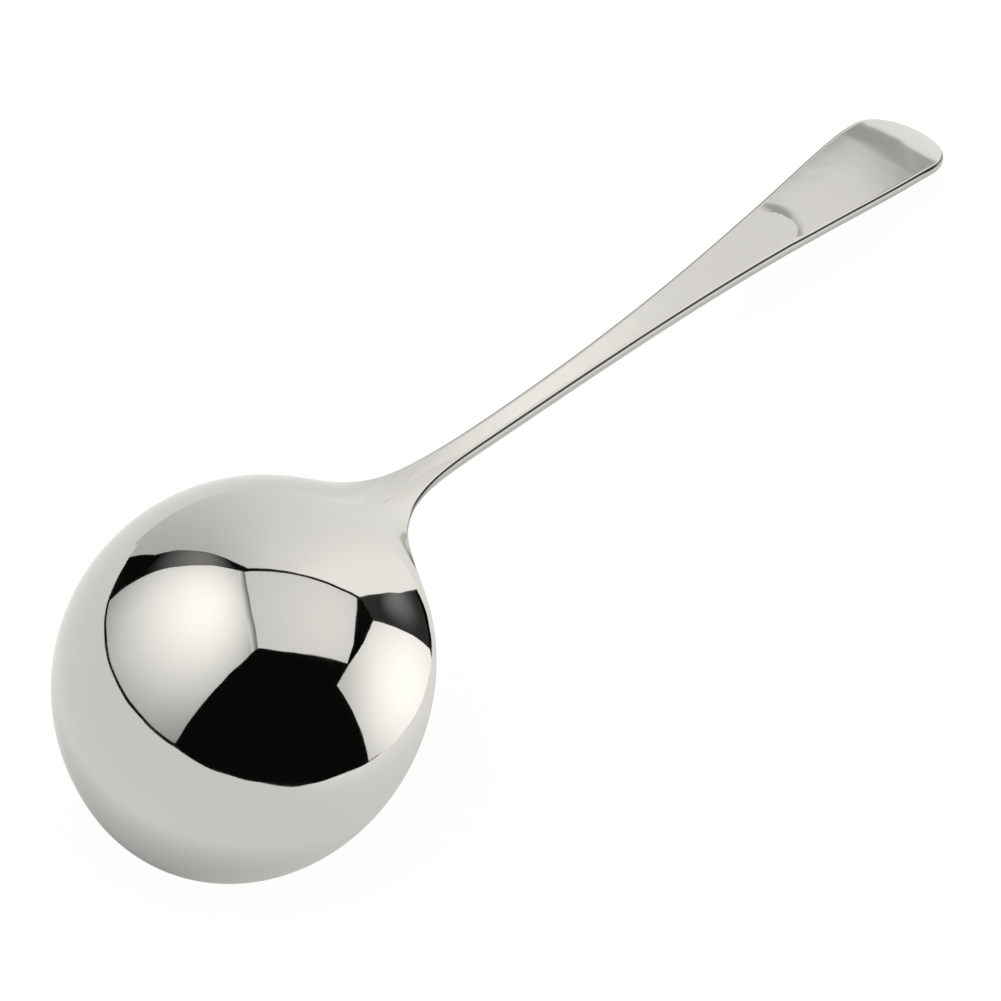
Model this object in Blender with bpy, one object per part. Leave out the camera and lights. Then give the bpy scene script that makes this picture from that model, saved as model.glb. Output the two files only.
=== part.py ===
"""Coffee spoon with a deep round bowl, lying face down on its front rim and handle tip.

The bowl's centre stands over x = 0 of the working axis, the handle runs along +X and the
table is z = 0. The finished spoon is then moved along X so that the origin lies under the
middle of its length. The spoon is one polished steel stamping; its four sections are
separate closed solids that meet at narrow seams.
"""
import math

import bmesh
import bpy
from mathutils import Vector

MM = 0.001

# Bowl: a cap of a sphere, standing tilted on the front of its rim
BOWL_RADIUS = 25.9 * MM
BOWL_DEPTH = 19.6 * MM
BOWL_WALL = 1.3 * MM
BOWL_TILT = math.radians(32.4)

# Neck: leaves the bowl at the back of its rim, hollows out and runs into the stem
NECK_HOLLOW_RADIUS = 12.0 * MM
NECK_END_PITCH = math.radians(14.0)
NECK_RIM_SPREAD = math.radians(26.5)
NECK_CORNER = 0.4 * MM
NECK_RIM_PULL = 9.4 * MM
NECK_STEM_PULL = 16.0 * MM
NECK_RUN = 18.3 * MM
NECK_FLATTEN_RUN = 5.0 * MM

# Stem and flared end
WAIST_WIDTH = 3.5 * MM
STEM_RUN = 57.5 * MM
FLARE_RUN = 30.4 * MM
FLARE_WAIST_PULL = 55.2 * MM
FLARE_SHOULDER_PULL = 14.0 * MM
END_WIDTH = 14.2 * MM
END_RUN = 7.5 * MM
END_FULLNESS = 2.05

# Side view of the handle: a shallow S, then a tip that turns down to the table
CURL_RUN = 11.8 * MM
CURL_RADIUS = 40.2 * MM
CURL_START_PITCH = math.radians(10.6)

# Tongue: the stem's back stands a little proud and ends in a round tongue on the flare
TONGUE_REACH = 5.9 * MM
TONGUE_RADIUS = 3.8 * MM
TONGUE_HEIGHT = 0.12 * MM
TONGUE_RAMP = 1.6 * MM

# Sheet
HANDLE_THICKNESS = 1.7 * MM
EDGE_ROUND = 0.2 * MM
SEAM_GAP = 0.3 * MM

# Mesh density
BOWL_SEGMENTS = 72
BOWL_RINGS = 15
CORNER_STEPS = 3
NECK_STEPS = 20
ARC_STEPS = 12
STEM_STEPS = 24
FLARE_STEPS = 26
END_STEPS = 14
EDGE_STEPS = 2
NECK_BANDS = 18
END_BANDS = 6
STRIPS = 12

STEEL_COLOUR = (0.60, 0.59, 0.57, 1.0)
STEEL_ROUGHNESS = 0.06

# Derived sizes of the bowl
RIM_OFFSET = BOWL_RADIUS - BOWL_DEPTH
RIM_ANGLE = math.acos(RIM_OFFSET / BOWL_RADIUS)
NECK_LEAVE_ANGLE = RIM_ANGLE - BOWL_TILT


def bowl_profile():
    """Half section as (radius, polar angle): outside, rounded rim edge, inside."""
    inner = BOWL_RADIUS - BOWL_WALL
    corner = min(EDGE_ROUND, 0.45 * BOWL_WALL)
    stop_out = RIM_ANGLE - corner / BOWL_RADIUS
    stop_in = RIM_ANGLE - corner / inner
    points = []
    for i in range(BOWL_RINGS + 1):
        points.append((BOWL_RADIUS, stop_out * i / BOWL_RINGS))
    for i in range(1, CORNER_STEPS + 1):
        turn = 0.5 * math.pi * i / CORNER_STEPS
        radius = BOWL_RADIUS - corner * (1.0 - math.cos(turn))
        points.append((radius, stop_out + corner * math.sin(turn) / BOWL_RADIUS))
    for i in range(CORNER_STEPS, 0, -1):
        turn = 0.5 * math.pi * i / CORNER_STEPS
        radius = inner + corner * (1.0 - math.cos(turn))
        points.append((radius, stop_in + corner * math.sin(turn) / inner))
    for i in range(BOWL_RINGS, -1, -1):
        points.append((inner, stop_in * i / BOWL_RINGS))
    return points


# The front of the rim touches the table
BOWL_HEIGHT = -min(r * math.cos(a + BOWL_TILT) for r, a in bowl_profile())

# Side view, taken on the upper face: sphere, hollow, shallow S, turned-down tip
HOLLOW_CENTRE_X = (BOWL_RADIUS + NECK_HOLLOW_RADIUS) * math.sin(NECK_LEAVE_ANGLE)
HOLLOW_CENTRE_Z = BOWL_HEIGHT + (BOWL_RADIUS + NECK_HOLLOW_RADIUS) * math.cos(NECK_LEAVE_ANGLE)
LEAVE_X = BOWL_RADIUS * math.sin(NECK_LEAVE_ANGLE)
HOLLOW_END_X = HOLLOW_CENTRE_X - NECK_HOLLOW_RADIUS * math.sin(NECK_END_PITCH)
HOLLOW_END_Z = HOLLOW_CENTRE_Z - NECK_HOLLOW_RADIUS * math.cos(NECK_END_PITCH)
WAIST_X = HOLLOW_END_X + NECK_RUN
STEM_END_X = WAIST_X + STEM_RUN
SHOULDER_X = STEM_END_X + FLARE_RUN
TIP_X = SHOULDER_X + END_RUN
CURL_X = TIP_X - CURL_RUN
TIP_PITCH = math.asin(math.sin(CURL_START_PITCH) + CURL_RUN / CURL_RADIUS)
TIP_LIFT = EDGE_ROUND * (math.cos(TIP_PITCH) + math.sin(TIP_PITCH) - 1.0)
TIP_Z = HANDLE_THICKNESS * math.cos(TIP_PITCH) - TIP_LIFT
CURL_Z = TIP_Z + CURL_RADIUS * (math.cos(CURL_START_PITCH) - math.cos(TIP_PITCH))
MIDDLE_X = 0.5 * (TIP_X - BOWL_RADIUS)


def side_height(x):
    """Height of the upper face over the table, on the spoon's middle plane."""
    if x <= LEAVE_X:
        return BOWL_HEIGHT + math.sqrt(BOWL_RADIUS ** 2 - x ** 2)
    if x <= HOLLOW_END_X:
        return HOLLOW_CENTRE_Z - math.sqrt(NECK_HOLLOW_RADIUS ** 2 - (x - HOLLOW_CENTRE_X) ** 2)
    if x <= CURL_X:
        run = CURL_X - HOLLOW_END_X
        t = (x - HOLLOW_END_X) / run
        start = -math.tan(NECK_END_PITCH) * run
        stop = -math.tan(CURL_START_PITCH) * run
        height = HOLLOW_END_Z * (1.0 - 3.0 * t ** 2 + 2.0 * t ** 3)
        height += start * (t - 2.0 * t ** 2 + t ** 3)
        height += CURL_Z * (3.0 * t ** 2 - 2.0 * t ** 3)
        return height + stop * (t ** 3 - t ** 2)
    sine = math.sin(CURL_START_PITCH) + (x - CURL_X) / CURL_RADIUS
    return CURL_Z - CURL_RADIUS * (math.cos(CURL_START_PITCH) - math.sqrt(1.0 - sine ** 2))


def ease(value):
    """Smooth step from 0 to 1."""
    t = min(1.0, max(0.0, value))
    return t * t * (3.0 - 2.0 * t)


# The neck starts one seam below the rim circle, still on the sphere
SEAM_ANGLE = RIM_ANGLE + SEAM_GAP / BOWL_RADIUS
SEAM_RADIUS = BOWL_RADIUS * math.sin(SEAM_ANGLE)
SEAM_BACK = BOWL_RADIUS * math.cos(SEAM_ANGLE) * math.sin(BOWL_TILT)
NECK_SIDE = SEAM_RADIUS * math.sin(NECK_RIM_SPREAD)
ROUND_X = SEAM_RADIUS * math.cos(BOWL_TILT) - SEAM_BACK
FLAT_X = HOLLOW_END_X + NECK_FLATTEN_RUN


def seam_x(y):
    """Plan position of the seam circle at the side distance y."""
    return SEAM_RADIUS * math.cos(BOWL_TILT) * math.sqrt(1.0 - (y / SEAM_RADIUS) ** 2) - SEAM_BACK


def face_height(x, y):
    """Height of the upper face: round like the bowl at the neck, flat across on the stem."""
    roundness = 1.0 - ease((x - ROUND_X) / (FLAT_X - ROUND_X))
    return side_height(math.sqrt(x ** 2 + roundness * y ** 2))


def face_normal(x, y):
    """Upward normal of the upper face."""
    step = 0.001 * MM
    along = (face_height(x + step, y) - face_height(x - step, y)) / (2.0 * step)
    across = (face_height(x, y + step) - face_height(x, y - step)) / (2.0 * step)
    return Vector((-along, -across, 1.0)).normalized()


def tongue_drop(x, y):
    """How far the flared end lies below the tongue."""
    ahead = x - (STEM_END_X + TONGUE_REACH - TONGUE_RADIUS)
    past = math.hypot(max(0.0, ahead), y) - TONGUE_RADIUS + min(0.0, ahead)
    return TONGUE_HEIGHT * ease(past / TONGUE_RAMP)


def wall_at(x):
    """Thickness: the bowl's wall at the rim, the full sheet from the waist on."""
    share = ease((x - ROUND_X) / (WAIST_X - ROUND_X))
    return BOWL_WALL + (HANDLE_THICKNESS - BOWL_WALL) * share


def bezier(a, b, c, d, t):
    """Point of a cubic curve in plan."""
    s = 1.0 - t
    weights = (s ** 3, 3.0 * s * s * t, 3.0 * s * t * t, t ** 3)
    x = sum(w * p[0] for w, p in zip(weights, (a, b, c, d)))
    y = sum(w * p[1] for w, p in zip(weights, (a, b, c, d)))
    return x, y


def neck_edge(t):
    """Plan outline from the rim circle to the waist, as (x, half width)."""
    along = (math.sin(NECK_RIM_SPREAD) * math.cos(BOWL_TILT), -math.cos(NECK_RIM_SPREAD))
    size = math.hypot(along[0], along[1])
    along = (along[0] / size, along[1] / size)
    start = (seam_x(NECK_SIDE) - NECK_CORNER * along[1], NECK_SIDE + NECK_CORNER * along[0])
    first = (start[0] + NECK_RIM_PULL * along[0], start[1] + NECK_RIM_PULL * along[1])
    stop = (WAIST_X, 0.5 * WAIST_WIDTH)
    return bezier(start, first, (stop[0] - NECK_STEM_PULL, stop[1]), stop, t)


def flare_edge(t):
    """Plan outline from the waist to the shoulders of the end, as (x, half width)."""
    start = (WAIST_X, 0.5 * WAIST_WIDTH)
    stop = (SHOULDER_X, 0.5 * END_WIDTH)
    first = (start[0] + FLARE_WAIST_PULL, start[1])
    return bezier(start, first, (stop[0] - FLARE_SHOULDER_PULL, stop[1]), stop, t)


def flare_at(x):
    """Half width of the flare at x, by halving the curve's parameter."""
    low, high = 0.0, 1.0
    for _ in range(40):
        middle = 0.5 * (low + high)
        if flare_edge(middle)[0] < x:
            low = middle
        else:
            high = middle
    return flare_edge(0.5 * (low + high))[1]


def spread(start, stop, count):
    """Evenly spaced values from start to stop, both included."""
    return [start + (stop - start) * i / count for i in range(count + 1)]


def between(values):
    """Values halfway between neighbours."""
    return [0.5 * (a + b) for a, b in zip(values, values[1:])]


def both_sides(left):
    """Anticlockwise outline from its left side, and which of its edges lie free of a seam."""
    right = [(x, -y) for x, y in left if y > 0.0]
    free = [True] * (len(right) + len(left))
    free[-1] = False
    free[len(right) - 1] = left[-1][1] == 0.0
    return right + left[::-1], free


def neck_outline():
    """Outline of the neck: two sides, the waist and the arc along the bowl's rim."""
    end = WAIST_X - 0.5 * SEAM_GAP
    left = [neck_edge(t) for t in spread(0.0, 1.0, NECK_STEPS)]
    points, free = both_sides([(min(x, end), y) for x, y in left])
    for turn in spread(NECK_RIM_SPREAD, -NECK_RIM_SPREAD, ARC_STEPS):
        side = SEAM_RADIUS * math.sin(turn)
        points.append((seam_x(side), side))
        free.append(False)
    return points, free


def stem_outline(stations):
    """Outline of the stem."""
    return both_sides([(x, flare_at(x)) for x in stations])


def end_outline(stations):
    """Outline of the flared end with its round tip."""
    left = [(x, flare_at(x)) for x in stations]
    for turn in spread(0.0, 0.5 * math.pi, END_STEPS)[1:-1]:
        x = SHOULDER_X + END_RUN * math.sin(turn) ** (2.0 / END_FULLNESS)
        left.append((x, 0.5 * END_WIDTH * math.cos(turn) ** (2.0 / END_FULLNESS)))
    left.append((TIP_X, 0.0))
    return both_sides(left)


def steel(name):
    """Polished stainless steel."""
    material = bpy.data.materials.new(name)
    material.use_nodes = True
    shader = material.node_tree.nodes["Principled BSDF"]
    shader.inputs["Base Color"].default_value = STEEL_COLOUR
    shader.inputs["Metallic"].default_value = 1.0
    shader.inputs["Roughness"].default_value = STEEL_ROUGHNESS
    return material


def place(name, bm, parent):
    """New smooth-shaded object from a mesh, with its own steel and parent."""
    mesh = bpy.data.meshes.new(name)
    bm.to_mesh(mesh)
    bm.free()
    mesh.shade_smooth()
    mesh.set_sharp_from_angle(angle=math.radians(20.0))
    obj = bpy.data.objects.new(name, mesh)
    bpy.context.scene.collection.objects.link(obj)
    obj.data.materials.append(steel(name + "_steel"))
    obj.parent = parent
    return obj


def make_bowl(parent):
    """Turned shell: the half section is spun about the bowl's own axis."""
    bm = bmesh.new()
    verts = [bm.verts.new((r * math.sin(a), 0.0, r * math.cos(a))) for r, a in bowl_profile()]
    edges = [bm.edges.new(pair) for pair in zip(verts, verts[1:])]
    bmesh.ops.spin(
        bm,
        geom=verts + edges,
        cent=(0.0, 0.0, 0.0),
        axis=(0.0, 0.0, 1.0),
        angle=2.0 * math.pi,
        steps=BOWL_SEGMENTS,
        use_merge=True,
    )
    bmesh.ops.remove_doubles(bm, verts=bm.verts, dist=0.001 * MM)
    bmesh.ops.recalc_face_normals(bm, faces=bm.faces)
    bowl = place("bowl", bm, parent)
    bowl.location = (0.0, 0.0, BOWL_HEIGHT)
    bowl.rotation_euler = (0.0, -BOWL_TILT, 0.0)
    return bowl


def cut(bm, point, normal):
    """Score the whole mesh along a plane."""
    parts = list(bm.verts) + list(bm.edges) + list(bm.faces)
    bmesh.ops.bisect_plane(bm, geom=parts, dist=0.005 * MM, plane_co=point, plane_no=normal)


def make_sheet(name, outline, bands, strips, parent):
    """Flat blank with rounded free edges, scored into bands, then pressed to the side view."""
    points, free = outline
    bm = bmesh.new()
    top = [bm.verts.new((x, y, 0.0)) for x, y in points]
    low = [bm.verts.new((x, y, -HANDLE_THICKNESS)) for x, y in points]
    bm.faces.new(top)
    bm.faces.new(low[::-1])
    rounded = []
    for i in range(len(points)):
        k = (i + 1) % len(points)
        bm.faces.new((low[i], low[k], top[k], top[i]))
        if free[i]:
            rounded.append(bm.edges.get((top[i], top[k])))
            rounded.append(bm.edges.get((low[i], low[k])))
    bm.normal_update()
    bmesh.ops.bevel(
        bm,
        geom=rounded,
        offset=EDGE_ROUND,
        offset_type="OFFSET",
        affect="EDGES",
        segments=EDGE_STEPS,
        profile=0.5,
        material=-1,
        clamp_overlap=True,
    )
    for x in bands:
        cut(bm, (x, 0.0, 0.0), (1.0, 0.0, 0.0))
    for y in strips:
        cut(bm, (0.0, y, 0.0), (0.0, 1.0, 0.0))
    for vert in bm.verts:
        x, y, z = vert.co
        depth = -z / HANDLE_THICKNESS
        drop = tongue_drop(x, y) * (1.0 - depth)
        vert.co = Vector((x, y, face_height(x, y) - drop)) - face_normal(x, y) * depth * wall_at(x)
    bmesh.ops.recalc_face_normals(bm, faces=bm.faces)
    return place(name, bm, parent)


def main():
    for obj in list(bpy.data.objects):
        bpy.data.objects.remove(obj, do_unlink=True)
    root = bpy.data.objects.new("spoon", None)
    bpy.context.scene.collection.objects.link(root)
    root.location = (-MIDDLE_X, 0.0, 0.0)
    make_bowl(root)
    neck_bands = between(spread(ROUND_X, WAIST_X, NECK_BANDS))
    neck_strips = between(spread(-NECK_SIDE, NECK_SIDE, STRIPS))
    make_sheet("neck", neck_outline(), neck_bands, neck_strips, root)
    stem = spread(WAIST_X + 0.5 * SEAM_GAP, STEM_END_X - 0.5 * SEAM_GAP, STEM_STEPS)
    make_sheet("stem", stem_outline(stem), between(stem), [], root)
    flare = spread(STEM_END_X + 0.5 * SEAM_GAP, SHOULDER_X, FLARE_STEPS)
    end_bands = between(flare) + between(spread(SHOULDER_X, TIP_X, END_BANDS))
    end_strips = between(spread(-0.5 * END_WIDTH, 0.5 * END_WIDTH, STRIPS))
    make_sheet("handle_end", end_outline(flare), end_bands, end_strips, root)
    bpy.context.view_layer.update()


main()
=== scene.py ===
"""Coffee spoon in polished steel, lying face down: bowl, neck, stem and flared handle end.

One sheet is pressed over the spoon's plan and side view, its edge is rolled over to the
underside, and the four sections are cut from it where the solids of the part meet.
"""
import math

import bmesh
import bpy
from bpy.props import FloatProperty, FloatVectorProperty, PointerProperty
from mathutils import Euler, Matrix, Vector


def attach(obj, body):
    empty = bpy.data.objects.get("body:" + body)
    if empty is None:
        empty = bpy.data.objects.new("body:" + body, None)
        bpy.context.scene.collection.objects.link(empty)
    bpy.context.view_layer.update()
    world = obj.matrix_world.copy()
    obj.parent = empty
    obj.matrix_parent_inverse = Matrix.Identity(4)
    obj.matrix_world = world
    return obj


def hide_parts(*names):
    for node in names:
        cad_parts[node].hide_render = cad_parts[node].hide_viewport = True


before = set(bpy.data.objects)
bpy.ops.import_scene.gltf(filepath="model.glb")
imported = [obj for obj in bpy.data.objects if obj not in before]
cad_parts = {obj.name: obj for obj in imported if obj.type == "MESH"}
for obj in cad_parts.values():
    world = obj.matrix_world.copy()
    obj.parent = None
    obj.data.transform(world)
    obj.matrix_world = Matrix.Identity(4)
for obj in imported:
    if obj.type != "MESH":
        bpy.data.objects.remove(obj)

bl_info = {
    "name": "Coffee Spoon",
    "version": (1, 0, 0),
    "blender": (4, 5, 0),
    "location": "3D View > Sidebar > Spoon",
    "description": "Models a polished steel coffee spoon and the studio it lies in",
    "category": "Add Mesh",
}

MM = 0.001
SHEET = "spoon_sheet"
SECTIONS = ("bowl", "neck", "stem", "handle_end")

# Mesh density
DOME_RINGS = 44
RIM_STEPS = 204
FAN_LINES = 32
FAN_CROWDING = 0.94
FAN_SHARE = 0.2
HALF_COLUMNS = 20
NECK_ROWS = 14
WAIST_ROWS = 24
STEM_ROWS = 60
CREST_ROWS = 8
TONGUE_ROWS = 32
FLARE_ROWS = 36
END_ROWS = 16
ROLL_STEPS = 6
WING_END = 0.3 * MM
WELD = 0.0002 * MM

# Steps and tolerances of the working out
RIM_CHECKS = 12
HALVINGS = 40
SLOPE_STEP = 0.01 * MM
NORMAL_STEP = 0.002 * MM
ON_BALL = 0.0005 * MM
SAME_PLACE = 0.001 * MM
SAME_TURN = 0.001

# Colour sockets of a Mix node: its two inputs and its output
MIX_FIRST = 6
MIX_SECOND = 7
MIX_RESULT = 2

# Sockets of a Map Range node, and of the ramp groups
RAMP_ENDS = ("From Min", "From Max", "To Min", "To Max")

# Pattern of the finish, and the dark reflection painted along the rolled edge; that line's spans are of the
# cut_edge attribute
CLOUD_SCALE = 55.0
SMEAR_SCALE = 140.0
SMEAR_SPAN = (0.35, 0.7)
PEEL_SCALE = 220.0
PEEL_DEPTH = 0.4 * MM
HAIRLINE_SCALE = (600.0, 9000.0, 9000.0)
HAIRLINE_DEPTH = 0.01 * MM
SATIN_SPAN = (-38.0 * MM, -24.0 * MM)
# Colour and spans of the dark reflection painted along the rolled edge
PAINTED_REFLECTION_COLOUR = (0.03, 0.03, 0.03, 1.0)
PAINTED_REFLECTION_RISE = (0.3, 0.5)
PAINTED_REFLECTION_FALL = (0.84, 0.62)
PAINTED_REFLECTION_LEFT = 0.34

# Corners of the light tent's sheets in mm
TABLE_HEIGHT = 0.05
TABLE_PLAN = (
    (-265, -305), (-84, -193), (-19, -145), (39, -128), (102, -111), (422, -76),
    (-15, 332), (-109, 295), (-219, 163), (-351, 10), (-371, -36), (-328, -171),
)
LIP_FOOT = -1
LIP_LINE = (
    (58, 324, 0), (-39, 292, 30), (-109, 295, 34), (-219, 163, 51),
    (-351, 10, 67), (-371, -36, 62), (-328, -171, 35), (-265, -305, 0),
)
LEFT_PANEL = ((-109, 295, 42), (40, 185, 401), (-186, -81, 433), (-351, 10, 76))
LEFT_SEAM = ((40, 185, 401), (60, 182, 450), (-160, -92, 450), (-186, -81, 433))
LEFT_GAP = ((-79, 273, 114), (40, 185, 401), (104, 221, 520), (34, 285, 281), (-8, 325, 150))
RIGHT_GAP = ((437, -90, 20), (496, -145, 129), (646, -285, 574), (389, -316, 350), (422, -280, -27))
TOP_PANEL = ((60, 182, 450), (201, 20, 450), (449, -216, 450), (140, -487, 450), (-160, -92, 450))
RIGHT_PANEL = (
    (389, -316, 350), (422, -280, -27), (364, -342, -80), (135, -588, -75),
    (-16, -749, -68), (33, -697, 547), (170, -550, 488),
)
BACK_SWEEP = (
    (-15, 332, -1), (-15, 332, 123), (34, 285, 281), (104, 221, 520),
    (298, 40, 589), (646, -285, 574), (496, -145, 129), (422, -76, -1),
)
END_CARD = ((112, 45, 32.4), (186, 45, 20.5), (186, 45, 84), (112, 45, 96))
TIP_CARD = ((172, 44, 22.8), (172, 2, 22.8), (172, 2, 86), (172, 44, 86))

# Light of the tent: places and spans in mm; a dim or a gain is a share of the sheet's own light
LAMP_COLOUR = (1.0, 0.995, 0.965, 1.0)
LEFT_FADE = {"centre": (-120, 119, 270), "reach": 360, "dim": 0.25}
LEFT_GAP_FADE = {"centre": (10, 240, 250), "reach": 160, "dim": 0.02}
RIGHT_GAP_FADE = {"centre": (480, -180, 170), "reach": 160, "dim": 0.15}
TOP_FADE = {"centre": (170, -210, 450), "reach": 450, "dim": 0.8}
RIGHT_FADE = {"centre": (270, -440, 80), "reach": 550, "dim": 0.5}
LEFT_GAP_LIGHT = 0.3
RIGHT_GAP_LIGHT = 0.26
SEAM_ACROSS = (0.7463, -0.5992, 0.2897)
SEAM_SPAN = (30, 64)
SEAM_LIGHT = (1.1, 0.26)
ALONG_SWEEP = (0.731, -0.682, 0.0)
SWEEP_LEFT_SPAN = (-240, 80)
SWEEP_LEFT_DIM = 0.62
SWEEP_RIGHT_SPAN = (20, 320)
SWEEP_RIGHT_GAIN = 0.22
STEM_SPOT = (211.2, 121, 165)
STEM_SPOT_REACH = 24
STEM_SPOT_GAIN = 0.38
STEM_RAYS = (294, 304)
TABLE_SHADE = 14
TABLE_SHADE_SAMPLES = 8
TABLE_CLEAR_SPAN = (100, 120)
TABLE_RIGHT_SPAN = (-30, 80)
TABLE_RIGHT_GAIN = 1.22

# Cards for the handle's end, in mm; their rays run from the length that misses them to one that doesn't
CARD_RAYS = (178, 142)
ALONG_SPOON = (1.0, 0.0, 0.0)
ACROSS_SPOON = (0.0, 1.0, 0.0)
END_CARD_START = (112, 128)
END_CARD_FOOT = {"direction": (0.16, 0.0, 1.0), "span": (67.3, 81.3), "low": 0.5, "high": 1.08}
END_CARD_WEDGE = {"direction": (-0.9, 0.0, 1.0), "span": (-109, -78), "low": 0.55, "high": 1.08}
TIP_CARD_SIDES = ((2, 12), (44, 36))
TIP_CARD_LIGHT = 0.55

# Grey dome on the camera's side, in mm and degrees; its rays run the same way
FAR_DOME_CENTRE = (-56, 0, 15)
FAR_DOME_RADIUS = 400
FAR_DOME_RAYS = (402, 420)
FAR_DOME_TURNS = (165, 300, 15)
FAR_DOME_RISES = (0, 84, 12)
FAR_DOME_SHADING = {"direction": (0.0, 0.0, 1.0), "span": (80, 420), "low": 1.0, "high": 0.55}

# Floor, surroundings and camera
FLOOR_GLOW = 1.03
STUDIO_DARK = (0.004, 0.004, 0.004, 1.0)
WHITE = (1.0, 1.0, 1.0, 1.0)
CLIP_START = 10 * MM


def length(name, description, default):
    """Length in metres, shown with its unit."""
    return FloatProperty(
        name=name,
        description=description,
        default=default,
        min=0.0,
        precision=5,
        subtype="DISTANCE",
        unit="LENGTH",
    )


def angle(name, description, default):
    """Angle, shown in degrees."""
    return FloatProperty(
        name=name,
        description=description,
        default=math.radians(default),
        subtype="ANGLE",
        unit="ROTATION",
    )


def factor(name, description, default, top=1.0):
    """Plain number from zero up."""
    return FloatProperty(name=name, description=description, default=default, min=0.0, max=top)


def colour(name, description, default):
    """Linear colour."""
    return FloatVectorProperty(
        name=name,
        description=description,
        default=default,
        size=4,
        min=0.0,
        max=1.0,
        subtype="COLOR",
    )


class SpoonSizes(bpy.types.PropertyGroup):
    """Sizes of the spoon."""

    bowl_radius: length("Bowl radius", "Radius of the bowl's outside", 25.9 * MM)
    bowl_depth: length("Bowl depth", "Crown to rim, along the bowl's axis", 19.6 * MM)
    bowl_wall: length("Bowl wall", "Thickness of the bowl", 1.3 * MM)
    bowl_tilt: angle("Bowl tilt", "Lean of the bowl's axis on the table", 32.4)
    hollow_radius: length("Hollow radius", "Side view of the neck's hollow", 12.0 * MM)
    hollow_pitch: angle("Hollow pitch", "Slope at which the hollow ends", 14.0)
    blend_start: angle("Blend start", "Slope of the bowl at which the neck begins to rise from it", 18.1)
    blend_run: length("Blend run", "Past the hollow, where the rise has run out", 5.4 * MM)
    blend_width: length("Blend width", "Half of the width that rises from the bowl", 12.0 * MM)
    crown_run: length("Crown run", "Past the rim, over which the neck's crown stops growing", 5.0 * MM)
    neck_spread: angle("Neck spread", "Half of the rim that the neck takes", 34.2)
    neck_core: angle("Neck core", "Half of the rim that runs on into the stem", 7.0)
    neck_rim_pull: length("Neck rim pull", "How long the neck follows the rim", 13.7 * MM)
    neck_stem_pull: length("Neck stem pull", "How long the neck follows the stem", 15.9 * MM)
    neck_run: length("Neck run", "Hollow's end to the waist", 18.3 * MM)
    flatten_run: length("Flatten run", "Past the hollow, where the face gets flat", 14.0 * MM)
    waist_width: length("Waist width", "Narrowest width of the stem", 3.5 * MM)
    stem_run: length("Stem run", "Waist to the flared end", 57.5 * MM)
    flare_run: length("Flare run", "Length of the flare up to its shoulders", 30.4 * MM)
    flare_waist_pull: length("Flare waist pull", "How long the sides stay slim", 55.2 * MM)
    flare_shoulder_pull: length("Flare shoulder pull", "How long the shoulders stay wide", 14.0 * MM)
    end_width: length("End width", "Width over the shoulders", 14.2 * MM)
    end_run: length("End run", "Shoulders to the tip", 7.5 * MM)
    end_fullness: factor("End fullness", "2 is a round tip, more is squarer", 2.05, 6.0)
    curl_run: length("Curl run", "Length of the turned-down tip", 11.8 * MM)
    curl_radius: length("Curl radius", "Side view of the turned-down tip", 40.2 * MM)
    curl_pitch: angle("Curl pitch", "Slope at which the curl starts", 10.6)
    tongue_reach: length("Tongue reach", "How far the tongue runs on to the flare", 5.2 * MM)
    tongue_radius: length("Tongue radius", "Round end of the tongue", 3.5 * MM)
    tongue_height: length("Tongue height", "Step at the tongue's crest", 0.17 * MM)
    tongue_ramp: length("Tongue ramp", "Run of the slope past the crest", 2.4 * MM)
    handle_thickness: length("Handle thickness", "Sheet at the stem and the end", 1.7 * MM)
    rim_round: length("Rim round", "Radius of the bowl's free edge", 0.58 * MM)
    edge_round: length("Edge round", "Radius of the handle's free edge", 0.8 * MM)


class SpoonFinish(bpy.types.PropertyGroup):
    """Polish of the steel."""

    steel: colour("Steel", "Polished steel", (0.612, 0.602, 0.585, 1.0))
    steel_warm: colour("Warm steel", "Faint warm cast of the polish", (0.588, 0.574, 0.553, 1.0))
    polish: factor("Polish", "Roughness where the polish is best", 0.02)
    haze: factor("Haze", "Roughness where the polish is hazy", 0.055)
    satin: factor("Satin", "Extra roughness of the handle", 0.07)
    edge_haze: factor("Edge haze", "Extra roughness of the cut edge", 0.02)
    # Depth of the dark reflection painted into the colour along the rolled edge
    edge_line: factor("Edge line", "Depth of the dark line along the rolled edge", 0.85)
    peel: factor("Peel", "Depth of the slow waviness left by pressing", 0.06)
    hairlines: factor("Hairlines", "Depth of the polishing lines", 0.02)


class StageSettings(bpy.types.PropertyGroup):
    """Floor, light tent and camera."""

    floor_size: length("Floor size", "Side of the pale floor", 6.0)
    floor_white: colour("Floor", "Pale floor", (0.9, 0.9, 0.9, 1.0))
    shadow_share: factor("Shadow share", "Part of the floor's white that the shadow takes", 0.07)
    lens: FloatProperty(name="Lens", description="Focal length in mm", default=126.66, min=1.0)
    camera_place: FloatVectorProperty(
        name="Camera place",
        description="Where the camera stands",
        default=(-0.23378, -0.18997, 0.35072),
        subtype="XYZ",
        unit="LENGTH",
    )
    camera_tilt: angle("Camera tilt", "Turn of the camera up from looking straight down", 40.1)
    camera_heading: angle("Camera heading", "Turn of the camera about the vertical", -49.5)
    left_light: factor("Left light", "Brightness of the left panel", 1.65, 4.0)
    right_light: factor("Right light", "Brightness of the right panel", 1.72, 4.0)
    top_light: factor("Top light", "Brightness of the top panel", 1.15, 4.0)
    sweep_light: factor("Sweep light", "Brightness of the back sweep", 1.06, 4.0)
    table_light: factor("Table light", "Brightness of the table in the steel", 0.94, 4.0)


class SpoonSettings(bpy.types.PropertyGroup):
    """Everything that shapes the spoon and its stage."""

    sizes: PointerProperty(type=SpoonSizes)
    finish: PointerProperty(type=SpoonFinish)
    stage: PointerProperty(type=StageSettings)


def ease(value):
    """Smooth step from 0 to 1."""
    t = min(1.0, max(0.0, value))
    return t * t * (3.0 - 2.0 * t)


def spread(start, stop, count):
    """Evenly spaced values from start to stop, both included."""
    return [start + (stop - start) * i / count for i in range(count + 1)]


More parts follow.
